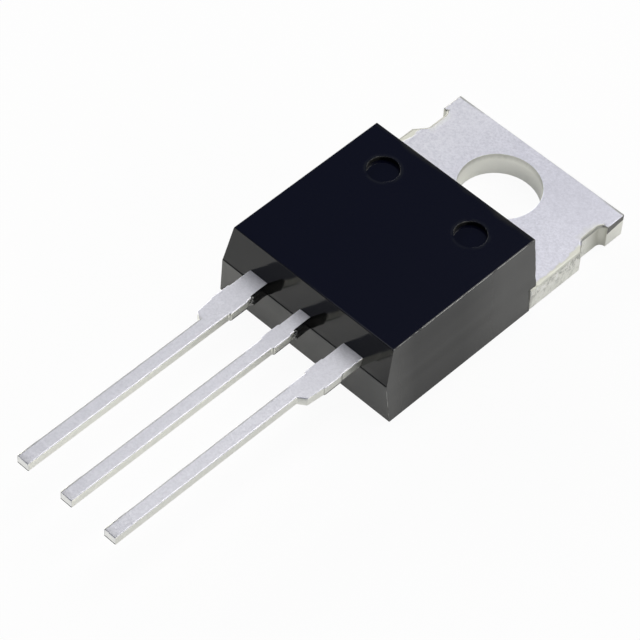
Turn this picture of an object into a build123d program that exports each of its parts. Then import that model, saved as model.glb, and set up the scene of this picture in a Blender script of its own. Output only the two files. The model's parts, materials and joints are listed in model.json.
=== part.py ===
from build123d import *
import os
from math import radians, tan

# A three-lead moulded power rectifier with a screw-down tab, lying on its back, in millimetres.
# The origin is the centre of the screw hole on the mounting face. +X runs from the left lead to
# the right lead, +Y towards the free end of the tab and +Z up from the mounting face.

# Tab and heatsink pad, stamped from thick copper strip
tab_thickness = 1.27
tab_length = 5.73  # free end of the tab to the mould
hole_diameter = 3.84
hole_to_end = 2.75  # centre of the screw hole to the free end
ear_width = 9.78  # across the two ears at the free end
ear_length = 1.12
notch_depth = 0.30  # of the notch in each side, between the ear and the shoulder
notch_length = 1.32
notch_corner = 0.28  # inner radius where each ear meets its notch
shoulder_ramp = 0.58  # length over which the notch runs out to the shoulder
shoulder_proud = 0.01  # sheared shoulder beyond the side of the mould
shoulder_overlap = 0.51  # shoulder inside the mould
pad_side_cover = 1.04  # mould beside the pad
pad_setback = 2.95  # end of the pad to the lead side of the mould
pad_corner = 0.6
lock_width = 0.30  # rebate round the back of the pad that the resin grips
lock_depth = 0.35
groove_width = 0.50  # V groove across the pad that stops moisture
groove_depth = 0.20
groove_from_shoulder = 0.50

# Leads, stamped from the thin side of the same strip
lead_pitch = 2.54
lead_thickness = 0.48
lead_width = 0.64
lead_length = 13.62  # mould to tip
middle_root_width = 0.70
outer_root_overhang = 0.44  # outer leads are wider on their outer side only, next to the mould
outer_shoulder_length = 3.05
outer_shoulder_taper = 0.26
shoulder_narrowing = 0.07  # from the stub to the end of the shoulder
stub_start = 1.08  # sheared ends of the bar that tied the leads together
stub_length = 1.05
stub_proud = 0.05
joggle_run = 1.15  # length over which the middle lead climbs from the pad
joggle_flat = 0.35  # level stretch on each side of the end of the pad
joggle_radius = 0.35
neck_width = 1.12  # middle lead inside the mould
neck_cover = 0.55  # mould over the end of the neck
post_width = 2.45  # wire landing of an outer lead, inside the mould
post_length = 1.65
post_cover = 0.95  # mould between the lead side and the landing
post_overhang = 0.32  # landing beyond the outer side of the lead
post_corner = 0.25

# Moulded body
mould_width = 10.06  # at the mounting face
mould_length = 9.45  # foot of the back to the lead side at the parting plane
mould_height = 4.17
parting_height = 2.27  # the leads lie on the parting plane
parting_step = 0.03  # the upper half is set back from the lower
side_draft = 5.3
front_draft = 4.2
front_slope = 12.9  # sloped face over the leads
back_draft = 3.2
back_corner = 0.05
top_edge = 0.06
mark_diameter = 1.62  # ejector pin marks on the top
mark_depth = 0.22
mark_pitch = 5.10
mark_from_back = 1.94

# Chips, their solder and their wires
die_size = 2.30
die_thickness = 0.28
solder_thickness = 0.05
solder_fillet = 0.12  # solder beyond each side of the die
die_pitch = 3.90
die_from_pad_end = 2.60
wire_diameter = 0.38
loop_cover = 0.45  # mould over the middle of a wire loop
foot_length = 0.95  # each end of a wire is pressed to a flat foot
foot_width = 0.56
foot_thickness = 0.20

edge_slack = 0.01  # for picking edges by where they lie

# Places worked out from the sizes above
mould_back = hole_to_end - tab_length
mould_front = mould_back - mould_length
pad_end = mould_front + pad_setback
pad_shoulder = mould_back - shoulder_overlap
lead_bottom = parting_height
lead_top = lead_bottom + lead_thickness
lead_tip = mould_front - lead_length
die_y = pad_end + die_from_pad_end
die_bottom = tab_thickness + solder_thickness
die_top = die_bottom + die_thickness
post_front = mould_front + post_cover
post_y = post_front + post_length / 2
root_reach = outer_root_overhang + lead_width / 2
post_x = lead_pitch + root_reach + post_overhang - post_width / 2


def prism(outline, bottom, top):
    """Solid between two heights with the given closed outline in plan."""
    face = make_face(Polyline(*outline, close=True).edges())
    return extrude(Pos(0, 0, bottom) * face, top - bottom)


def both_sides(points):
    """Closed plan outline from its right half, mirrored in X."""
    return points + [(-x, y) for x, y in reversed(points)]


def round_verticals(solid, radius, chosen):
    """Rounds the upright edges whose centres pass the given test."""
    edges = [edge for edge in solid.edges().filter_by(Axis.Z) if chosen(edge.center())]
    return fillet(edges, radius)


def make_tab():
    """Ears, notches and shoulder of the tab, with the pad that goes into the mould."""
    ear, waist = ear_width / 2, ear_width / 2 - notch_depth
    shoulder, pad = mould_width / 2 + shoulder_proud, mould_width / 2 - pad_side_cover
    ear_end = hole_to_end - ear_length
    notch_end = ear_end - notch_length
    ramp_end = notch_end - shoulder_ramp
    right = [
        (ear, hole_to_end), (ear, ear_end), (waist, ear_end), (waist, notch_end),
        (shoulder, ramp_end), (shoulder, pad_shoulder), (pad, pad_shoulder), (pad, pad_end),
    ]
    tab = prism(both_sides(right), 0, tab_thickness)
    tab = round_verticals(tab, notch_corner, lambda c: abs(abs(c.X) - waist) < edge_slack)
    tab = round_verticals(tab, pad_corner, lambda c: abs(c.Y - pad_end) < edge_slack)
    lock = prism(both_sides([
        (pad + lock_width, pad_shoulder - lock_width), (pad + lock_width, pad_end - lock_width),
    ]), 0, lock_depth)
    exposed = prism(both_sides([
        (pad - lock_width, mould_back), (pad - lock_width, pad_end + lock_width),
    ]), 0, lock_depth)
    exposed = round_verticals(exposed, pad_corner, lambda c: c.Y < pad_shoulder)
    tab -= lock - exposed
    groove_y = pad_shoulder - groove_from_shoulder
    groove = Plane.YZ * make_face(Polyline(
        (groove_y - groove_width / 2, tab_thickness), (groove_y + groove_width / 2, tab_thickness),
        (groove_y, tab_thickness - groove_depth), close=True,
    ).edges())
    tab -= extrude(groove, mould_width, both=True)
    return tab - Pos(0, 0, tab_thickness / 2) * Cylinder(hole_diameter / 2, 2 * tab_thickness)


def lead_plan(axis_x, outward):
    """Plan outline of a lead outside the mould, from inside its wall to the tip.

    outward is +1 or -1 for the outer leads, whose outer side has a long shoulder, and 0 for the
    middle one, whose sides are alike.
    """
    half = lead_width / 2
    inside = mould_front + parting_step + post_cover
    start, end = mould_front - stub_start, mould_front - stub_start - stub_length
    root = middle_root_width / 2

    def stub(side_x, onward_x):
        return [(side_x, start), (side_x + stub_proud, start - stub_proud),
                (side_x + stub_proud, end), (onward_x, end - stub_proud)]

    def plain_side():
        return [(root, inside), *stub(root, half), (half, lead_tip)]

    def shoulder_side():
        wide = half + outer_root_overhang
        shoulder_end = mould_front - outer_shoulder_length
        return [(wide, inside), *stub(wide, wide),
                (wide - shoulder_narrowing, shoulder_end),
                (half, shoulder_end - outer_shoulder_taper), (half, lead_tip)]

    right = shoulder_side() if outward > 0 else plain_side()
    left = shoulder_side() if outward < 0 else plain_side()
    return [(axis_x + x, y) for x, y in right] + [(axis_x - x, y) for x, y in reversed(left)]


def make_middle_lead():
    """Middle lead with its joggle, which climbs from the pad to the parting plane."""
    low, high = tab_thickness - lead_thickness / 2, lead_bottom + lead_thickness / 2
    climb_start = pad_end - joggle_flat
    route = FilletPolyline(
        (0, pad_end + joggle_flat, low), (0, climb_start, low),
        (0, climb_start - joggle_run, high), (0, lead_tip, high),
        radius=joggle_radius,
    )
    section = Plane(route @ 0, x_dir=(1, 0, 0), z_dir=route % 0) * Rectangle(neck_width, lead_thickness)
    strip = sweep(section, path=route)
    neck_end = mould_front + neck_cover
    neck = [(neck_width / 2, pad_end + joggle_flat), (neck_width / 2, neck_end)]
    shape = prism(both_sides(neck), 0, mould_height) + prism(lead_plan(0, 0), 0, mould_height)
    return strip & shape


def make_outer_lead(side):
    """Flat outer lead with its wire landing; side is -1 for the left one and +1 for the right."""
    lead = prism(lead_plan(side * lead_pitch, side), lead_bottom, lead_top)
    landing = Pos(side * post_x, post_y, (lead_bottom + lead_top) / 2) * Box(
        post_width, post_length, lead_thickness)
    landing = round_verticals(landing, post_corner, lambda c: True)
    return lead + landing


def make_die(side):
    """Square silicon chip on the pad."""
    return Pos(side * die_pitch / 2, die_y, (die_bottom + die_top) / 2) * Box(
        die_size, die_size, die_thickness)


def make_solder(side):
    """Solder layer under a chip, wider at the pad than at the chip."""
    centre = Pos(side * die_pitch / 2, die_y, 0)
    wide = die_size + 2 * solder_fillet
    foot = centre * Pos(0, 0, tab_thickness) * RectangleRounded(wide, wide, solder_fillet)
    head = centre * Pos(0, 0, die_bottom) * RectangleRounded(
        die_size + solder_fillet, die_size + solder_fillet, solder_fillet)
    return loft([foot, head])


def make_wire(side):
    """Bond wire looped from a chip to a landing, pressed to a flat foot at each end."""
    x = side * die_pitch / 2
    reach = foot_length / 4
    start, end = (x, die_y - reach, die_top), (x, post_y + reach, lead_top)
    crest = (x, (start[1] + end[1]) / 2, mould_height - loop_cover - wire_diameter / 2)
    loop = ThreePointArc(start, crest, end)
    section = Plane(loop @ 0, x_dir=(1, 0, 0), z_dir=loop % 0) * Circle(wire_diameter / 2)
    wire = sweep(section, path=loop)
    on_surface = (Align.CENTER, Align.CENTER, Align.MAX)
    for y, z in ((die_y, die_top), (post_y, lead_top)):
        foot = Pos(x, y, z) * Rot(0, 0, 90) * SlotOverall(foot_length, foot_width)
        wire -= Pos(x, y, z) * Box(foot_width, 2 * foot_length, wire_diameter, align=on_surface)
        wire += extrude(foot, foot_thickness)
    return wire


def make_mould_form():
    """Outer form of the body: drafted all round, with a sloped face over the leads."""
    upper = mould_height - parting_height
    side_profile = Plane.YZ * make_face(Polyline(
        (mould_back, 0),
        (mould_front + parting_height * tan(radians(front_draft)), 0),
        (mould_front, parting_height),
        (mould_front + parting_step, parting_height),
        (mould_front + parting_step + upper * tan(radians(front_slope)), mould_height),
        (mould_back - mould_height * tan(radians(back_draft)), mould_height),
        close=True,
    ).edges())
    half, inset = mould_width / 2, mould_height * tan(radians(side_draft))
    end_profile = Plane.XZ * make_face(Polyline(
        (-half, 0), (half, 0), (half - inset, mould_height), (inset - half, mould_height), close=True,
    ).edges())
    form = extrude(side_profile, mould_width, both=True)
    form &= extrude(end_profile, tab_length + mould_length + lead_length, both=True)
    corners = [edge for edge in form.edges()
               if abs(edge.tangent_at(0).Z) > 0.9 and edge.center().Y > mould_back - mould_length / 2]
    form = fillet(corners, back_corner)
    rim = [edge for edge in form.edges() if edge.center().Z > mould_height - edge_slack]
    form = fillet(rim, top_edge)
    for side in (-1, 1):
        mark = Pos(side * mark_pitch / 2, mould_back - mark_from_back, mould_height)
        form -= mark * Cylinder(mark_diameter / 2, 2 * mark_depth)
    return form


pieces = {"tab_with_middle_lead": make_tab() + make_middle_lead()}
for name, side in (("left", -1), ("right", 1)):
    pieces[f"{name}_lead"] = make_outer_lead(side)
    pieces[f"{name}_die_solder"] = make_solder(side)
    pieces[f"{name}_die"] = make_die(side)
    pieces[f"{name}_bond_wire"] = make_wire(side)

mould = make_mould_form()
for piece in pieces.values():
    mould -= piece
pieces["mould_body"] = mould

os.makedirs("parts", exist_ok=True)
for name, piece in pieces.items():
    export_step(piece, f"parts/{name}.step")
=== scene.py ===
import json
from math import cos, pi, radians, sin
import bmesh
import bpy
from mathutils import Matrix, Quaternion, Vector, noise


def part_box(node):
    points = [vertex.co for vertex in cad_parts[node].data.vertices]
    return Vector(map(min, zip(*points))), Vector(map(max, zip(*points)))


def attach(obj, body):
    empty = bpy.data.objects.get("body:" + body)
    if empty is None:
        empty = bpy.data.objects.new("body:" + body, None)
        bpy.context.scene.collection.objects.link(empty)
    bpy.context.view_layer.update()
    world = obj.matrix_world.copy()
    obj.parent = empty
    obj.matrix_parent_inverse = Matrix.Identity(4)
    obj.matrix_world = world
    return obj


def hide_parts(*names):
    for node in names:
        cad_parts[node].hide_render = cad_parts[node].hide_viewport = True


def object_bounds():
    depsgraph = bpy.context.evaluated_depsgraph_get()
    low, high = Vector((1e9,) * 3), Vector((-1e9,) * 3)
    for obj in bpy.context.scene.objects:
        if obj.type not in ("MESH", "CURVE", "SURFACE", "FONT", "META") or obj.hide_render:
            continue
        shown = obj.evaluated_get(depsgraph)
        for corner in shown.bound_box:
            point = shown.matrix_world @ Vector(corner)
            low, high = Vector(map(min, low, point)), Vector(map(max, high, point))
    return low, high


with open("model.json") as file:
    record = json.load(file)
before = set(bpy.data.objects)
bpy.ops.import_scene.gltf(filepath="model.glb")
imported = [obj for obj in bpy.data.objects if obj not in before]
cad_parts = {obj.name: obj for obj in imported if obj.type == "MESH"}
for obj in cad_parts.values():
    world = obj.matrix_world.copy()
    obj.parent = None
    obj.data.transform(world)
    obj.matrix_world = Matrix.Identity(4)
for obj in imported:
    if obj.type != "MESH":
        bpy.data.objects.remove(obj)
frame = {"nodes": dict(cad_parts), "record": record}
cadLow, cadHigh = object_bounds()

millimetre = 0.001
middle = (cadLow + cadHigh) / 2
bodyLow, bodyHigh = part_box("mould_body")
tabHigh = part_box("tab_with_middle_lead")[1]
leadLow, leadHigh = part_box("left_lead")
mounts = frame["record"]["mounts"]
leadAxis = {mount["name"].split("_")[0]: mount["pos_m"][0] for mount in mounts
            if mount["name"].endswith("lead_tip")}
screwHole = next(mount["dims"] for mount in mounts if mount["kind"] == "bore")

# places and measures that several pieces share, in millimetres
boreRadius, plate = screwHole["r_mm"], screwHole["length_mm"]
pitch = leadAxis["right"] / millimetre
leadBottom, leadTop = leadLow.z / millimetre, leadHigh.z / millimetre
tipY = leadLow.y / millimetre
frontY, backY = bodyLow.y / millimetre, bodyHigh.y / millimetre
bodyTop = bodyHigh.z / millimetre
tabSide, tabEnd = tabHigh.x / millimetre, tabHigh.y / millimetre

# how far under the top, and how far from the middle and the ends, a mark's floor may lie
# the dressed body has its marks this much narrower and further forward than the frame
markSet = {"shallow": 0.05, "deep": 0.4, "reach": 4, "fromFront": 3, "fromBack": 0.6,
           "narrowed": 0.91, "forward": 0.08}


def findMarks():
    # centre and radius of the two round ejector marks, from the corners of their floors
    s = markSet
    found = []
    for side in (-1, 1):
        floor = []
        for v in frame["nodes"]["mould_body"].data.vertices:
            x, y, z = v.co / millimetre
            if (s["shallow"] < bodyTop - z < s["deep"] and 0 < side * x < s["reach"]
                    and frontY + s["fromFront"] < y < backY - s["fromBack"]):
                floor.append((v.co.x, v.co.y))
        across, along = zip(*floor)
        found.append(((min(across) + max(across)) / 2, (min(along) + max(along)) / 2,
                      (max(across) - min(across)) / 2))
    return found


marks = findMarks()
print("frame loaded:", len(frame["nodes"]), "nodes,", len(marks), "marks")


class Value:
    # one shader value: sums, products and so on of it add Math nodes
    def __init__(self, finish, socket):
        self.finish = finish
        self.socket = socket

    def math(self, operation, *others, clamp=False):
        return self.finish.node("ShaderNodeMath", {"operation": operation, "use_clamp": clamp},
                                [self, *others])

    def __add__(self, other):
        return self.math("ADD", other)

    def __sub__(self, other):
        return self.math("SUBTRACT", other)

    def __mul__(self, other):
        return self.math("MULTIPLY", other)

    def __truediv__(self, other):
        return self.math("DIVIDE", other)

    def __pow__(self, other):
        return self.math("POWER", other)

    def __rsub__(self, other):
        return self.finish.node("ShaderNodeMath", {"operation": "SUBTRACT"}, [other, self])

    def __neg__(self):
        return 0 - self

    __radd__ = __add__
    __rmul__ = __mul__

    def size(self):
        return self.math("ABSOLUTE")

    def most(self, other):
        return self.math("MAXIMUM", other)

    def clamped(self):
        return self.math("MULTIPLY", 1, clamp=True)

    def below(self, edge, blend):
        # 1 under the edge and 0 over it, with a soft step as wide as the blend
        return ((edge - self) / blend + 0.5).clamped()

    def above(self, edge, blend):
        return ((self - edge) / blend + 0.5).clamped()

    def near(self, place, width, blend):
        # 1 in a band round the place and 0 elsewhere
        return (self - place).size().below(width / 2, blend)

    def steeper(self, gain):
        # more contrast round the middle
        return ((self - 0.5) * gain + 0.5).clamped()

    def atLeast(self, least):
        # squeezed into the span from the least value up to 1
        return least + (1 - least) * self


class Finish:
    # a material that starts empty and is built node by node
    def __init__(self, name):
        self.material = bpy.data.materials.new(name)
        self.material.use_nodes = True
        self.tree = self.material.node_tree
        self.tree.nodes.clear()

    def node(self, kind, settings=None, inputs=(), output=0):
        # the settings come first, because some of them decide which sockets there are
        made = self.tree.nodes.new(kind)
        for name, value in (settings or {}).items():
            setattr(made, name, value)
        pairs = inputs.items() if isinstance(inputs, dict) else enumerate(inputs)
        for key, value in pairs:
            if isinstance(value, Value):
                self.tree.links.new(value.socket, made.inputs[key])
            else:
                made.inputs[key].default_value = value
        return Value(self, made.outputs[output]) if made.outputs else None

    def place(self, stretch=(1, 1, 1)):
        # the piece's own coordinates in millimetres, stretched where asked
        coordinates = self.node("ShaderNodeTexCoord", output="Object")
        scale = tuple(1 / millimetre * part for part in stretch)
        return self.node("ShaderNodeMapping", {}, {"Vector": coordinates, "Scale": scale})

    def split(self, vector):
        parts = self.node("ShaderNodeSeparateXYZ", {}, [vector])
        return [Value(self, socket) for socket in parts.socket.node.outputs]

    def axes(self):
        return self.split(self.place())

    def facing(self):
        # which way the surface looks
        return self.split(self.node("ShaderNodeNewGeometry", output="Normal"))

    def noise(self, scale, detail=2.0, roughness=0.5, stretch=(1, 1, 1), distortion=0.0):
        return self.node("ShaderNodeTexNoise", {}, {
            "Vector": self.place(stretch), "Scale": scale, "Detail": detail,
            "Roughness": roughness, "Distortion": distortion})

    def blend(self, share, first, second):
        # a colour between two others, whose sockets on this node are numbers 6 and 7
        first, second = (end if isinstance(end, Value) else (*end, 1) for end in (first, second))
        return self.node("ShaderNodeMix", {"data_type": "RGBA"}, {0: share, 6: first, 7: second},
                         output=2)

    def bump(self, height, distance, strength=1.0, under=None):
        inputs = {"Strength": strength, "Distance": distance * millimetre, "Height": height}
        if under is not None:
            inputs["Normal"] = under
        return self.node("ShaderNodeBump", {}, inputs)

    def surface(self, **inputs):
        shader = self.node("ShaderNodeBsdfPrincipled", {}, {
            name.replace("_", " "): value for name, value in inputs.items()})
        self.node("ShaderNodeOutputMaterial", {}, {"Surface": shader})
        return self.material


# in each dictionary of a finish: colours, then bands, then shares, then noises, gloss and bump
# a band is (edge, blend) or (place, width, blend), along an axis, a normal or a noise
epoxySet = {
    "side": (0.0036, 0.0037, 0.0036), "sideHazy": (0.0070, 0.0070, 0.0062),
    "sideEndReflection": (0.070, 0.070, 0.067), "top": (0.0018, 0.0022, 0.0090),
    "lowerFrontHazeAndReflection": (0.106, 0.106, 0.095), "seamGlint": (0.05, 0.05, 0.045),
    "edgeGlint": (0.34, 0.34, 0.33), "fleck": (0.55, 0.55, 0.52), "markRingHighlight": (0.009, 0.010, 0.015),
    "backRim": (0.048, 0.048, 0.034), "markWallShade": (0.0005, 0.0005, 0.0005),
    "level": (0.8, 0.3), "steep": (0.6, 0.3), "corner": (0.22, 0.1),
    "roundEdge": (0.70, 0.5, 0.2), "facesRight": (0.8, 0.2),
    "frontEnd": (frontY + 1.1, 1.4), "backEnd": (backY - 3.4, 2.6), "rim": (backY + 0.05, 0.35),
    "underLeads": (leadBottom, 0.02), "lowCorner": (leadBottom, 0.05),
    "seam": (leadBottom - 0.035, 0.03, 0.03), "ledge": (leadBottom + 0.02, 0.05, 0.03),
    "atTop": (bodyTop - 0.03, 0.02), "underTop": (bodyTop - 0.06, 0.04),
    "besideMark": 1.3, "besideBlend": 0.1, "ringWidth": 0.10, "ringBlend": 0.09,
    "markBlend": 0.05,
    "flecks": (0.51, 0.06), "glints": (0.42, 0.15), "ringParts": (0.45, 0.2),
    "endsLeast": 0.7, "frontLeast": 0.6, "seamShare": 0.6, "rimWander": 0.6,
    "hazeScale": 0.55, "grainScale": 16, "waveScale": 2.2, "fleckScale": 2.6, "glintScale": 1.8,
    "ringScale": 3.0, "rimScale": 4.5,
    "rough": 0.07, "roughGrain": 0.06, "topRough": 0.03, "ledgeRough": 0.6, "markRough": 0.4,
    "index": 1.55, "grainHeight": 0.5, "depth": 0.004, "strength": 0.30,
}


def makeEpoxy():
    # black moulded epoxy: dull on the top, glossier on the drafted sides, hazy on the lower
    # front, which a painted reflection of the floor also lightens
    s = epoxySet
    f = Finish("black_epoxy")
    x, y, z = f.axes()
    outX, outY, outZ = f.facing()
    haze = f.noise(s["hazeScale"], detail=3)
    grain = f.noise(s["grainScale"], detail=4, roughness=0.65)
    up = outZ.above(*s["level"])
    base = f.blend(haze, s["side"], s["sideHazy"])
    # painted reflection: the sides are paler towards their ends, standing in for the lit floor
    # mirrored there, varied by the haze
    sideFace = outX.size().above(*s["steep"])
    ends = y.below(*s["frontEnd"]) + y.above(*s["backEnd"])
    base = f.blend(sideFace * ends * haze.atLeast(s["endsLeast"]), base, s["sideEndReflection"])
    # painted reflection: the top gets a blue tint that stands in for a blue sky mirrored in it
    base = f.blend(up, base, s["top"])
    # the front is hazy under the parting line and lightened there by a painted reflection of the
    # floor; the line itself gets a painted glint
    frontSide = (-outY).above(*s["steep"])
    lowerFrontHazeAndReflection = frontSide * z.below(*s["underLeads"])
    base = f.blend(lowerFrontHazeAndReflection * haze.atLeast(s["frontLeast"]), base, s["lowerFrontHazeAndReflection"])
    seam = frontSide * z.near(*s["seam"])
    base = f.blend(seam * s["seamShare"], base, s["seamGlint"])
    # pale flecks at the lower corners, and broken glints along the top's right edge
    corner = (outX * outY).size().above(*s["corner"])
    flecks = f.noise(s["fleckScale"], detail=4, roughness=0.7).above(*s["flecks"])
    base = f.blend(corner * z.below(*s["lowCorner"]) * flecks, base, s["fleck"])
    markX, markY, markRadius = (abs(value) / millimetre for value in marks[1])
    rightEdge = (outX.near(*s["roundEdge"]) * outZ.near(*s["roundEdge"])
                 * x.above(markX + s["besideMark"], s["besideBlend"]))
    glints = f.noise(s["glintScale"], detail=3).above(*s["glints"])
    base = f.blend(rightEdge * glints, base, s["edgeGlint"])
    # a faint painted highlight ringing each mark, a paler back rim, and painted shade that
    # blackens the walls in the marks
    fromMark = ((x.size() - markX) ** 2 + (y + markY + markSet["forward"]) ** 2).math("SQRT")
    markRingHighlight = (fromMark.near(markRadius, s["ringWidth"], s["ringBlend"]) * up
            * f.noise(s["ringScale"], detail=3).above(*s["ringParts"]))
    base = f.blend(markRingHighlight * z.above(*s["atTop"]), base, s["markRingHighlight"])
    backRim = up * (y + haze * s["rimWander"]).above(*s["rim"])
    base = f.blend(backRim * f.noise(s["rimScale"], detail=4, roughness=0.7), base, s["backRim"])
    inMark = z.below(*s["underTop"]) * fromMark.below(markRadius, s["markBlend"])
    base = f.blend(inMark * (1 - up), base, s["markWallShade"])
    ledge = frontSide * z.near(*s["ledge"])
    rough = (s["rough"] + s["roughGrain"] * grain + s["topRough"] * up * (1 - inMark)
             + s["ledgeRough"] * ledge + s["markRough"] * inMark * outX.above(*s["facesRight"]))
    height = grain * s["grainHeight"] + f.noise(s["waveScale"], detail=2)
    return f.surface(Base_Color=base, Roughness=rough, IOR=s["index"],
                     Normal=f.bump(height, s["depth"], s["strength"]))


# what the two tin finishes of the strip share
stripSet = {
    "drawn": (0.74, 0.74, 0.68), "rolled": (0.40, 0.40, 0.37),
    "tab": (backY - 0.5, 0.2), "pastBody": (backY, 0.1), "besideBore": (boreRadius + 1, 0.2),
    "notches": (1.0, 1.5, 0.3), "leftSide": (-boreRadius - 1.5, 0.3),
}


def rolledShadeZone(x, y):
    # the tab's left edge, and both notches
    s = stripSet
    notches = y.near(*s["notches"]) * x.size().above(*s["besideBore"])
    leftEdge = x.below(*s["leftSide"]) * y.above(*s["pastBody"])
    return notches.most(leftEdge)


topTinSet = {
    "dark": (0.66, 0.66, 0.75), "bright": (0.88, 0.88, 0.98), "cloud": (0.78, 0.78, 0.88),
    "left": (0.93, 0.93, 1.0), "lead": (0.90, 0.90, 0.94), "dull": (0.40, 0.40, 0.38),
    "leftPart": (-2.2, 3.0), "rightPart": (1.0, 2.0), "farPart": (0.5, 1.5),
    "endEdge": (tabEnd - 0.10, 0.08), "ears": (3.9, 1.2),
    "leadLeft": (-0.26, 0.05), "shanks": (frontY - 3.2, 0.2), "tips": (tipY + 0.22, 0.3),
    "ramp": (-0.35, 1.2, 0.5), "sideEdge": (tabSide - 0.20, 0.08), "shoulders": (0.4, 0.6),
    "notchEdge": (tabSide - 0.62, 0.45), "notches": (0.9, 1.2, 0.4),
    "rollStart": (0.985, 0.012), "patches": (0.40, 0.2),
    "grainGain": 3, "cloudShare": 0.4, "leadLightShare": 0.4, "leftShare": 0.25, "leftGrain": 0.6,
    "farShare": 0.35, "leadLeftShare": 0.7, "tipShare": 0.28, "notchShare": 0.9,
    "wander": 0.5, "rampReach": 0.15,
    "grainScale": 9, "rollingScale": 7, "cloudScale": 0.8, "wobbleScale": 1.6,
    "rough": 0.36, "roughGrain": 0.12, "drawnRough": 0.16,
    "rollingHeight": 0.5, "drawnHeight": 3, "depth": 0.006, "strength": 0.6,
}


def makeTopTin():
    # matte tin on the rolled faces of the strip, turning creamy where the edge was drawn down
    s = topTinSet
    f = Finish("matt_tin")
    x, y = f.axes()[:2]
    outZ = f.facing()[2]
    grain = f.noise(s["grainScale"], detail=5, roughness=0.7)
    rolling = f.noise(s["rollingScale"], detail=2, stretch=(1, 0.2, 1))
    cloud = f.noise(s["cloudScale"], detail=3)
    wobble = f.noise(s["wobbleScale"], detail=4, roughness=0.6)
    contrast = grain.steeper(s["grainGain"])
    patchy = wobble.above(*s["patches"])
    onTab = y.above(*stripSet["tab"])
    shade = f.blend(contrast, s["dark"], s["bright"])
    shade = f.blend(cloud * s["cloudShare"], shade, s["cloud"])
    # painted light: the leads are given a paler tone than the tab, making up for the light that
    # falls on them
    shade = f.blend((1 - onTab) * s["leadLightShare"], shade, s["lead"])
    # painted light and shade: the tab is painted paler to the left and darker at its far right;
    # it is dull along the ears' ends
    paintedLeftLight = x.below(*s["leftPart"]) * onTab * (s["leftShare"] + s["leftGrain"] * contrast)
    shade = f.blend(paintedLeftLight, shade, s["left"])
    paintedFarRightShade = x.above(*s["rightPart"]) * y.above(*s["farPart"])
    shade = f.blend(paintedFarRightShade * s["farShare"], shade, s["dark"])
    earEnds = y.above(*s["endEdge"]) * x.size().above(*s["ears"])
    shade = f.blend(earEnds * patchy, shade, s["dull"])
    # the leads are darker along their left edges and at their tips
    fromAxis = x - (x / pitch).math("ROUND") * pitch
    leftLine = fromAxis.below(*s["leadLeft"]) * y.below(*s["shanks"]) * s["leadLeftShare"]
    tips = y.below(*s["tips"]) * patchy * s["tipShare"]
    shade = f.blend(leftLine.most(tips), shade, s["dull"])
    # drawn down along the shoulders, more so where the ramp is, and in the notches
    reach = x.size() + (wobble - 0.5) * s["wander"] + y.near(*s["ramp"]) * s["rampReach"]
    drawn = reach.above(*s["sideEdge"]) * y.below(*s["shoulders"]) * onTab
    notchDrawn = reach.above(*s["notchEdge"]) * y.near(*s["notches"]) * onTab
    drawn = 1 - (1 - drawn) * (1 - s["notchShare"] * notchDrawn)
    shade = f.blend(drawn, shade, stripSet["drawn"])
    # painted shade on the faces rolled over on the left edge and along the notches, dimming the
    # highlight they catch
    shade = f.blend(outZ.below(*s["rollStart"]) * rolledShadeZone(x, y), shade, stripSet["rolled"])
    rough = s["rough"] + s["roughGrain"] * grain + s["drawnRough"] * drawn
    height = grain + rolling * s["rollingHeight"] + wobble * drawn * s["drawnHeight"]
    return f.surface(Base_Color=shade, Roughness=rough, Metallic=1.0,
                     Normal=f.bump(height, s["depth"], s["strength"]))


sideTinSet = {
    "torn": (0.97, 0.97, 0.92), "dark": (0.76, 0.76, 0.70), "burnished": (0.13, 0.13, 0.12),
    "notch": (0.60, 0.60, 0.54), "bore": (0.88, 0.88, 0.83), "boreRim": (0.55, 0.55, 0.51),
    "fleckDark": (0.42, 0.42, 0.39), "stepFaceShade": (0.50, 0.50, 0.46), "burrAndShade": (0.02, 0.02, 0.02),
    "end": (1.0, 1.0, 0.98),
    "inBore": (boreRadius + 0.3, 0.1), "boreTop": (plate - 0.22, 0.25),
    "drawnEdge": (plate - 0.10, 0.06), "shoulders": (0.6, 0.3), "upper": (plate - 0.5, 0.4),
    "rollStart": (0.25, 0.2), "tipFace": (tipY + 0.02, 0.02), "forward": (0.45, 0.3),
    "steps": (frontY - 2.4, 0.1), "stub": (frontY - 1.61, 1.05, 0.08),
    "bottom": (leadBottom + 0.09, 0.03), "darkFlecks": (0.45, 0.05), "brightFlecks": (0.57, 0.05),
    "earLength": 1.12, "earBlend": 0.04, "wedge": 0.14, "wedgeLeast": 0.30, "wedgeBlend": 0.03,
    "notchStart": 0.02, "notchLength": 0.75, "notchBlend": 0.8,
    "fleckLeast": 0.4, "fleckShare": 0.8, "boreShare": 0.8, "stepShare": 0.8,
    "wander": 0.12, "boreWander": 0.2,
    "tornScale": 5, "fineScale": 12, "fleckScale": 4.5,
    "rough": 0.32, "roughSpan": 0.22, "burnishedGloss": 0.1, "flare": 0.30,
    "fineHeight": 0.4, "depth": 0.022, "strength": 0.6,
}


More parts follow.
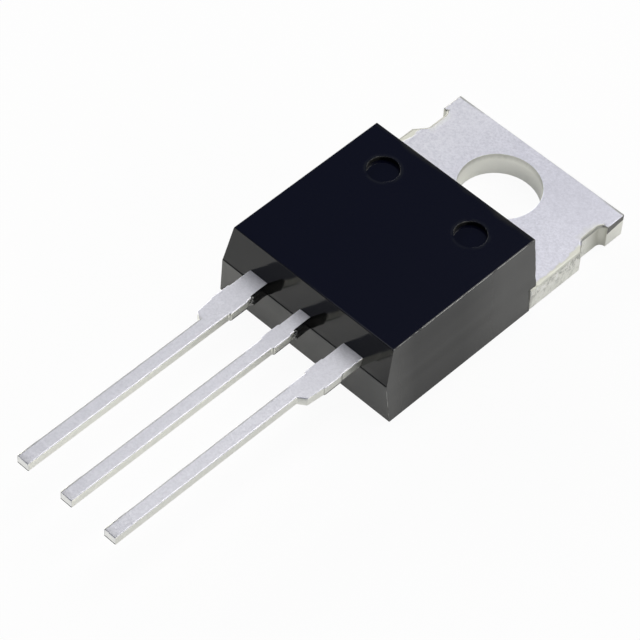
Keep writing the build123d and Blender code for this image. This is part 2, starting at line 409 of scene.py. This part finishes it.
def makeSideTin():
    # tin over the sheared sides: bright torn metal, duller where the punch burnished it
    s = sideTinSet
    f = Finish("sheared_tin")
    x, y, z = f.axes()
    outY, outZ = f.facing()[1:]
    torn = f.noise(s["tornScale"], detail=5, roughness=0.75, stretch=(1, 1, 0.5), distortion=0.4)
    fine = f.noise(s["fineScale"], detail=3, roughness=0.6)
    onTab = y.above(*stripSet["tab"])
    pastBore = x.size().above(*stripSet["besideBore"])
    inBore = (x * x + y * y).math("SQRT").below(*s["inBore"])
    shade = f.blend(torn, s["dark"], s["torn"])
    # the burnished band under the ears' top edge is a wedge that ends at the notch
    earStart = tabEnd - s["earLength"]
    wedge = s["wedgeLeast"] + s["wedge"] * (tabEnd - y) / s["earLength"]
    burnished = ((z + (torn - 0.5) * s["wander"]).above(plate - wedge, s["wedgeBlend"])
                 * y.above(earStart, s["earBlend"]))
    drawn = onTab * z.above(*s["drawnEdge"]) * (1 - burnished) * pastBore
    shade = f.blend(drawn, shade, stripSet["drawn"])
    shade = f.blend(burnished * (1 - inBore), shade, s["burnished"])
    # the torn zone of the lower shoulders is flecked, most of all near its upper edge
    flecks = f.noise(s["fleckScale"], detail=4, roughness=0.8, stretch=(1, 1, 0.7))
    upper = z.above(*s["upper"]).atLeast(s["fleckLeast"])
    flecked = onTab * y.below(*s["shoulders"]) * pastBore * upper
    darkFlecks = flecked * flecks.below(*s["darkFlecks"])
    shade = f.blend(darkFlecks * s["fleckShare"], shade, s["fleckDark"])
    shade = f.blend(flecked * flecks.above(*s["brightFlecks"]), shade, s["end"])
    # the notches are darker, and the faces rolled over along them and on the left edge are
    # painted darker as shade
    notched = (y.below(earStart + s["notchStart"], s["earBlend"])
               * y.above(earStart - s["notchLength"], s["notchBlend"]) * pastBore)
    shade = f.blend(notched, shade, s["notch"])
    shade = f.blend(outZ.above(*s["rollStart"]) * rolledShadeZone(x, y), shade, stripSet["rolled"])
    # the bore is bright under a duller rim
    shade = f.blend(inBore, shade, s["bore"])
    boreRim = inBore * (z + (torn - 0.5) * s["boreWander"]).above(*s["boreTop"])
    shade = f.blend(boreRim * s["boreShare"], shade, s["boreRim"])
    # painted light and shade: the leads' ends are painted pale, and the small faces at the stubs'
    # steps that look towards the tips are painted darker
    tipFace = y.below(*s["tipFace"])
    shade = f.blend(tipFace, shade, s["end"])
    stepFaceShade = (-outY).above(*s["forward"]) * (1 - onTab) * y.above(*s["steps"])
    shade = f.blend(stepFaceShade * s["stepShare"], shade, s["stepFaceShade"])
    # a burr under the stubs and the tips, painted nearly black as shade
    atBottom = z.below(*s["bottom"])
    burrAndShade = y.near(*s["stub"]) * atBottom + tipFace * atBottom
    shade = f.blend(burrAndShade * (1 - onTab), shade, s["burrAndShade"])
    rough = s["rough"] + s["roughSpan"] * torn - s["burnishedGloss"] * burnished
    # the leads' sides flare a little towards the burr at the bottom
    flare = f.bump((leadTop - z) * s["flare"] * (1 - onTab), 1.0)
    height = torn + fine * s["fineHeight"]
    return f.surface(Base_Color=shade, Roughness=rough, Metallic=1.0,
                     Normal=f.bump(height, s["depth"], s["strength"], under=flare))


cameraSet = {"azimuth": 40.97, "elevation": 50.44, "roll": 4.17, "distance": 0.14953,
             "lens": 199.06, "fromMiddle": (0.00007, 0.00021, -0.00040), "clip": (0.001, 10)}


def sideOf(azimuth, elevation):
    a, e = radians(azimuth), radians(elevation)
    return Vector((sin(a) * cos(e), -cos(a) * cos(e), sin(e)))


def makeCamera():
    s = cameraSet
    back = sideOf(s["azimuth"], s["elevation"])
    data = bpy.data.cameras.new("camera")
    data.lens = s["lens"]
    data.clip_start, data.clip_end = s["clip"]
    camera = bpy.data.objects.new("camera", data)
    bpy.context.scene.collection.objects.link(camera)
    camera.location = middle + Vector(s["fromMiddle"]) + back * s["distance"]
    camera.rotation_mode = "QUATERNION"
    roll = Quaternion((0, 0, 1), radians(s["roll"]))
    camera.rotation_quaternion = (-back).to_track_quat("-Z", "Y") @ roll
    bpy.context.scene.camera = camera


# every lamp looks at the middle of the part; the one with a height is a strip, the rest are discs
lampColour = (1.0, 0.985, 0.92)
lampSet = {
    "overhead": {"direction": (-0.05, 0.12, 1.0), "distance": 0.34, "width": 0.22, "power": 0.19},
    "overheadBack": {"direction": (0.05, 0.55, 0.83), "distance": 0.34, "width": 0.22,
                     "power": 0.37},
    "left": {"direction": (-0.93, 0.05, 0.30), "distance": 0.35, "width": 0.70, "height": 0.12,
             "power": 1.40},
    "right": {"direction": (0.92, -0.10, 0.38), "distance": 0.35, "width": 0.16, "power": 0.22},
    "rightBack": {"direction": (0.77, 0.48, 0.42), "distance": 0.40, "width": 0.10,
                  "power": 0.16},
}


def makeLamps():
    for name, s in lampSet.items():
        data = bpy.data.lights.new(name, "AREA")
        data.shape = "RECTANGLE" if "height" in s else "DISK"
        data.size, data.size_y = s["width"], s.get("height", s["width"])
        data.energy, data.color = s["power"], lampColour
        lamp = bpy.data.objects.new(name, data)
        bpy.context.scene.collection.objects.link(lamp)
        away = Vector(s["direction"]).normalized()
        lamp.location = middle + away * s["distance"]
        lamp.rotation_mode = "QUATERNION"
        lamp.rotation_quaternion = away.to_track_quat("Z", "Y")


floorSet = {"size": 1.2, "drop": 0.00001, "colour": (0.93, 0.93, 0.93),
            "cameraWhite": 0.94, "mirroredWhite": 0.24}
worldSet = {"colour": (0.36, 0.42, 0.62), "strength": 0.18}


def makeFloor():
    # pale floor that stays white to the camera and in reflections, and keeps a soft shadow
    f = Finish("pale_floor")
    rays = f.node("ShaderNodeLightPath", output="Is Camera Ray")
    outputs = rays.socket.node.outputs
    glossy = Value(f, outputs["Is Glossy Ray"])
    through = Value(f, outputs["Is Transmission Ray"])
    whiteness = rays * floorSet["cameraWhite"] + (glossy + through) * floorSet["mirroredWhite"]
    plain = f.node("ShaderNodeBsdfDiffuse", {}, {"Color": (*floorSet["colour"], 1)})
    white = f.node("ShaderNodeEmission", {}, {"Color": (1, 1, 1, 1), "Strength": 1.0})
    mixed = f.node("ShaderNodeMixShader", {}, [whiteness, plain, white])
    f.node("ShaderNodeOutputMaterial", {}, {"Surface": mixed})
    return f.material


def meshObject(name, bm):
    mesh = bpy.data.meshes.new(name)
    bm.to_mesh(mesh)
    bm.free()
    made = bpy.data.objects.new(name, mesh)
    bpy.context.scene.collection.objects.link(made)
    return made


def makeStage():
    world = bpy.data.worlds.new("dim_studio")
    bpy.context.scene.world = world
    world.use_nodes = True
    background = world.node_tree.nodes["Background"]
    background.inputs["Color"].default_value = (*worldSet["colour"], 1)
    background.inputs["Strength"].default_value = worldSet["strength"]
    bm = bmesh.new()
    bmesh.ops.create_grid(bm, x_segments=1, y_segments=1, size=floorSet["size"] / 2)
    bmesh.ops.translate(bm, verts=bm.verts,
                        vec=(middle.x, middle.y, cadLow.z - floorSet["drop"]))
    floor = meshObject("floor", bm)
    floor.data.materials.append(makeFloor())


makeCamera()
makeLamps()
makeStage()
bpy.context.scene.view_settings.view_transform = "Standard"
print("stage ready")

# how the dressed copies are prepared: millimetres, then degrees, then the share of a normal
meshSet = {"joined": 0.002, "cut": 0.0001,
           "flatWithin": 0.5, "bevelledFrom": 28, "sharpFrom": 40, "flatNormal": 0.999}


def joinedCopy(node):
    # the frame's meshes are loose triangles, so a copy is joined into whole faces
    s = meshSet
    bm = bmesh.new()
    bm.from_mesh(frame["nodes"][node].data)
    bmesh.ops.remove_doubles(bm, verts=bm.verts, dist=s["joined"] * millimetre)
    bmesh.ops.dissolve_limit(bm, angle_limit=radians(s["flatWithin"]), verts=bm.verts,
                             edges=bm.edges)
    return bm


def cutThrough(bm, place, direction):
    bmesh.ops.bisect_plane(bm, geom=bm.verts[:] + bm.edges[:] + bm.faces[:],
                           dist=meshSet["cut"] * millimetre, plane_co=place, plane_no=direction)


def roundEdges(bm, width, segments, chosen, clamp=True):
    # bevels the sharp edges that the test picks
    steep = radians(meshSet["bevelledFrom"])
    sharp = [e for e in bm.edges if len(e.link_faces) == 2 and e.calc_face_angle(0) > steep
             and chosen((e.verts[0].co + e.verts[1].co) / 2, e)]
    bmesh.ops.bevel(bm, geom=sharp, offset=width * millimetre, offset_type="OFFSET",
                    segments=segments, profile=0.5, affect="EDGES", material=-1,
                    clamp_overlap=clamp)


def finishPiece(name, bm, node, materials, pick=None):
    s = meshSet
    bm.normal_update()
    for face in bm.faces:
        face.material_index = pick(face) if pick else 0
    piece = meshObject(name, bm)
    for material in materials:
        piece.data.materials.append(material)
    # the copy still carries the frame's own normals, which no longer fit it
    if "custom_normal" in piece.data.attributes:
        piece.data.attributes.remove(piece.data.attributes["custom_normal"])
    piece.data.set_sharp_from_angle(angle=radians(s["sharpFrom"]))
    if pick:
        # the level and upright faces stay flat, and the rounded ones between them are smooth
        for face in piece.data.polygons:
            face.use_smooth = max(abs(part) for part in face.normal) < s["flatNormal"]
    else:
        weighted = piece.modifiers.new("evenShading", "WEIGHTED_NORMAL")
        weighted.keep_sharp = True
    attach(piece, "root")
    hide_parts(node)


# millimetres and shares; foot, rim, ends and sides say how near the outside an edge has to lie
bodyEdges = {
    "width": 0.035, "segments": 3, "foot": 0.03, "rim": 0.2, "ends": 0.3, "sides": 0.6,
    "tabMouth": 0.8, "overTab": 0.02, "ledge": 0.05,
    "markDepth": 0.4, "markReach": 1.1, "layers": 16,
    "ragged": 0.045, "raggedScale": 0.30, "raggedBack": 0.45, "raggedSide": 0.60,
    "raggedFull": 0.6,
}


def makeBody(epoxy):
    s = bodyEdges
    low, high = bodyLow, bodyHigh

    def outside(place, edge):
        besideTab = (place.z < tabHigh.z + s["overTab"] * millimetre
                     and place.y > high.y - s["tabMouth"] * millimetre)
        onLedge = abs(place.z - leadLow.z) < s["ledge"] * millimetre
        fromEnds = min(place.y - low.y, high.y - place.y)
        fromSides = min(place.x - low.x, high.x - place.x)
        return not besideTab and not onLedge and (
            place.z < low.z + s["foot"] * millimetre or place.z > high.z - s["rim"] * millimetre
            or fromEnds < s["ends"] * millimetre or fromSides < s["sides"] * millimetre)

    bm = joinedCopy("mould_body")
    roundEdges(bm, s["width"], s["segments"], outside)
    # the marks are drawn in a little and moved towards the leads
    for x, y, radius in marks:
        for v in bm.verts:
            out = Vector((v.co.x - x, v.co.y - y))
            inMark = out.length < s["markReach"] * radius
            if inMark and high.z - v.co.z < s["markDepth"] * millimetre:
                v.co.x = x + out.x * markSet["narrowed"]
                v.co.y = y + out.y * markSet["narrowed"] - markSet["forward"] * millimetre
    # cut into layers, so that the back corners can be a little ragged
    for layer in range(1, s["layers"]):
        height = low.z + (high.z - low.z) * layer / s["layers"]
        cutThrough(bm, (0, 0, height), (0, 0, 1))
    for v in bm.verts:
        nearBack = 1 - (high.y - v.co.y) / (s["raggedBack"] * millimetre)
        nearSide = 1 - (high.x - abs(v.co.x)) / (s["raggedSide"] * millimetre)
        share = max(0, min(nearBack, nearSide, s["raggedFull"])) / s["raggedFull"]
        wander = noise.noise(v.co / (s["raggedScale"] * millimetre))
        shift = share * s["ragged"] * millimetre * wander
        v.co.x += shift * (1 if v.co.x > 0 else -1)
        v.co.y += shift
    finishPiece("moulded_body", bm, "mould_body", [epoxy])


# millimetres; the last three are for the normals of faces
metalEdges = {
    "width": 0.045, "segments": 3, "crisp": 0.012, "crispSegments": 2,
    "rolled": 0.13, "rolledSegments": 5, "rolledFrom": 4, "rolledTo": 1.6,
    "lowerFrom": 4.8, "lowerTo": 0.4, "cuts": 12, "inFront": 0.3, "behind": 0.6,
    "boreRim": 0.1, "atFace": 0.03, "shortest": 0.02, "slack": 0.01,
    "facesLeft": -0.5, "facesUp": 0.6, "facesDown": -0.95,
}


def makeMetal(name, node, tins):
    s = metalEdges
    bm = joinedCopy(node)
    # cut across in even steps, and bevelled only where the strip stands clear of the resin
    inFront, behind = frontY + s["inFront"], backY - s["behind"]
    cuts = [tipY + (inFront - tipY) * step / s["cuts"] for step in range(1, s["cuts"] + 1)]
    for along in [*cuts, behind]:
        cutThrough(bm, (0, along * millimetre, 0), (0, 1, 0))

    def clear(place):
        return not inFront - s["slack"] < place.y / millimetre < behind + s["slack"]

    def crisp(place, edge):
        # the bore's rims and the left edges of the leads stay crisp
        facesLeft = any(face.normal.x < s["facesLeft"] for face in edge.link_faces)
        onBore = place.xy.length / millimetre < boreRadius + s["boreRim"]
        return onBore or (facesLeft and place.z / millimetre > leadBottom - s["slack"])

    def rolledEdge(place, edge):
        out, along, height = abs(place.x) / millimetre, place.y / millimetre, place.z / millimetre
        level = abs(edge.verts[0].co.z - edge.verts[1].co.z) < s["slack"] * millimetre
        upper = (abs(height - plate) < s["atFace"] and out > s["rolledFrom"]
                 and along < s["rolledTo"])
        lower = height < s["atFace"] and out > s["lowerFrom"] and along < s["lowerTo"]
        return level and along > backY and (upper or lower)

    def crispEdge(place, edge):
        return clear(place) and crisp(place, edge)

    def plainEdge(place, edge):
        longEnough = edge.calc_length() > s["shortest"] * millimetre
        return clear(place) and not crisp(place, edge) and longEnough

    def tinOf(face):
        rolledFace = face.normal.z > s["facesUp"] or face.normal.z < s["facesDown"]
        return 0 if rolledFace else 1

    roundEdges(bm, s["rolled"], s["rolledSegments"], rolledEdge, clamp=False)
    bm.normal_update()
    roundEdges(bm, s["crisp"], s["crispSegments"], crispEdge, clamp=False)
    roundEdges(bm, s["width"], s["segments"], plainEdge, clamp=False)
    finishPiece(name, bm, node, tins, tinOf)


# millimetres and shares; closing is the angle in radians over which the tip narrows
flashSet = {
    "length": 1.02, "intoWall": 0.20, "proud": 0.07, "overTop": 0.09, "above": 0.02,
    "under": 0.03, "rootFrom": 0.9, "rootTo": 1.2, "cuts": 11, "smoothing": 0.5,
    "bead": 0.12, "beadProud": 0.05, "beadTurn": 1.05, "beadLevel": 0.4, "closing": 1.45,
    "ragged": 0.03, "raggedScale": 0.11, "raggedAcross": 0.3, "raggedInside": 0.9,
    "raggedAtTip": 0.5, "raggedUp": 0.5,
    "black": (0.0010, 0.0010, 0.0010), "glint": (0.35, 0.35, 0.34), "glints": (0.52, 0.06),
    "glintReach": 1.6, "glintBlend": 0.05, "grainScale": 14,
    "rough": 0.16, "roughGrain": 0.1, "index": 1.30, "depth": 0.006, "strength": 0.5,
}


def makeSkinResin():
    # the thin skin is blacker than the body, with a few glints on the bead it ends in
    s = flashSet
    f = Finish("resin_skin")
    y = f.axes()[1]
    grain = f.noise(s["grainScale"], detail=4, roughness=0.7)
    beadStart = frontY - s["length"] + s["glintReach"] * s["bead"]
    glints = y.below(beadStart, s["glintBlend"]) * grain.above(*s["glints"])
    base = f.blend(glints, s["black"], s["glint"])
    return f.surface(Base_Color=base, Roughness=s["rough"] + s["roughGrain"] * grain,
                     IOR=s["index"], Normal=f.bump(grain, s["depth"], s["strength"]))


def rootHalf(lead, node, side):
    # from a lead's axis to the given side of its root, where it leaves the body
    s = flashSet
    reach = [side * (v.co.x - leadAxis[lead]) for v in frame["nodes"][node].data.vertices
             if frontY - s["rootTo"] < v.co.y / millimetre < frontY - s["rootFrom"]]
    return min(value for value in reach if value > 0) / millimetre


def makeFlash(name, lead, node, side, skinResin):
    # a skin of resin that crept out of the mould along one side of a lead and ended in a bead
    s = flashSet
    face = leadAxis[lead] / millimetre + side * rootHalf(lead, node, side)
    inner, outer = face - side * s["overTop"], face + side * s["proud"]
    back, tip = frontY + s["intoWall"], frontY - s["length"]
    bottom, top = leadBottom - s["under"], leadTop + s["above"]
    halfway = (bottom + top) / 2
    bm = bmesh.new()
    bmesh.ops.create_cube(bm, size=1)
    bmesh.ops.subdivide_edges(bm, edges=bm.edges, cuts=s["cuts"], use_grid_fill=True)
    for v in bm.verts:
        # shares of the way across, along and up
        u, w, h = v.co.x + 0.5, v.co.y + 0.5, v.co.z + 0.5
        x = inner + (outer - inner) * u
        y = back + (tip - back) * w
        z = bottom + (top - bottom) * h
        # the last bit swells into the bead and then closes
        toEnd = max(0, 1 - (y - tip) / (2 * s["bead"]))
        swell = sin(pi * min(1, toEnd * s["beadTurn"]))
        x += side * s["beadProud"] * swell * u
        z += s["beadProud"] * swell * (h - s["beadLevel"])
        if toEnd > 0.5:
            squeeze = cos(s["closing"] * (toEnd - 0.5) * 2)
            z = halfway + (z - halfway) * squeeze
            x = face + (x - face) * squeeze
        across, up = u * s["raggedAcross"], h * s["raggedAcross"]
        wander = s["ragged"] * noise.noise(Vector((across, y, up)) / s["raggedScale"])
        x += wander * (1 if u > 0.5 else s["raggedInside"]) * (1 - s["raggedAtTip"] * toEnd)
        z += wander * s["raggedUp"] * (h - 0.5)
        v.co = Vector((x, y, z)) * millimetre
    bmesh.ops.recalc_face_normals(bm, faces=bm.faces)
    bmesh.ops.smooth_vert(bm, verts=bm.verts, factor=s["smoothing"], use_axis_x=True,
                          use_axis_y=True, use_axis_z=True)
    for part in bm.faces:
        part.smooth = True
    piece = meshObject(name, bm)
    piece.data.materials.append(skinResin)
    rounding = piece.modifiers.new("rounding", "SUBSURF")
    rounding.levels = rounding.render_levels = 1
    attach(piece, "root")


tins = [makeTopTin(), makeSideTin()]
skinResin = makeSkinResin()
makeBody(makeEpoxy())
makeMetal("tab_metal", "tab_with_middle_lead", tins)
makeMetal("left_lead_metal", "left_lead", tins)
makeMetal("right_lead_metal", "right_lead", tins)
makeFlash("resin_flash_left_lead", "left", "left_lead", 1, skinResin)
makeFlash("resin_flash_middle_lead", "middle", "tab_with_middle_lead", 1, skinResin)
print("body, metal and flash ready")

# the sealed pieces keep the frame's meshes and get a plain finish each
innerSet = {
    "die": {"name": "silicon", "base": (0.20, 0.21, 0.25), "rough": 0.20, "metallic": 0.6,
            "scale": 6, "depth": 0.002},
    "die_solder": {"name": "solder", "base": (0.55, 0.55, 0.57), "rough": 0.40, "metallic": 1.0,
                   "scale": 12, "depth": 0.008},
    "bond_wire": {"name": "bond_wire", "base": (0.82, 0.82, 0.82), "rough": 0.30,
                  "metallic": 1.0, "scale": 18, "depth": 0.004},
}
innerGrain = {"darkest": 0.85, "rough": 0.12, "strength": 0.4}


def makeInner(s):
    f = Finish(s["name"])
    grain = f.noise(s["scale"], detail=3)
    dark = tuple(innerGrain["darkest"] * part for part in s["base"])
    return f.surface(Base_Color=f.blend(grain, dark, s["base"]),
                     Roughness=s["rough"] + innerGrain["rough"] * grain, Metallic=s["metallic"],
                     Normal=f.bump(grain, s["depth"], innerGrain["strength"]))


for kind, settings in innerSet.items():
    material = makeInner(settings)
    for side in ("left", "right"):
        slots = frame["nodes"][f"{side}_{kind}"].data.materials
        slots.clear()
        slots.append(material)
print("sealed pieces ready")
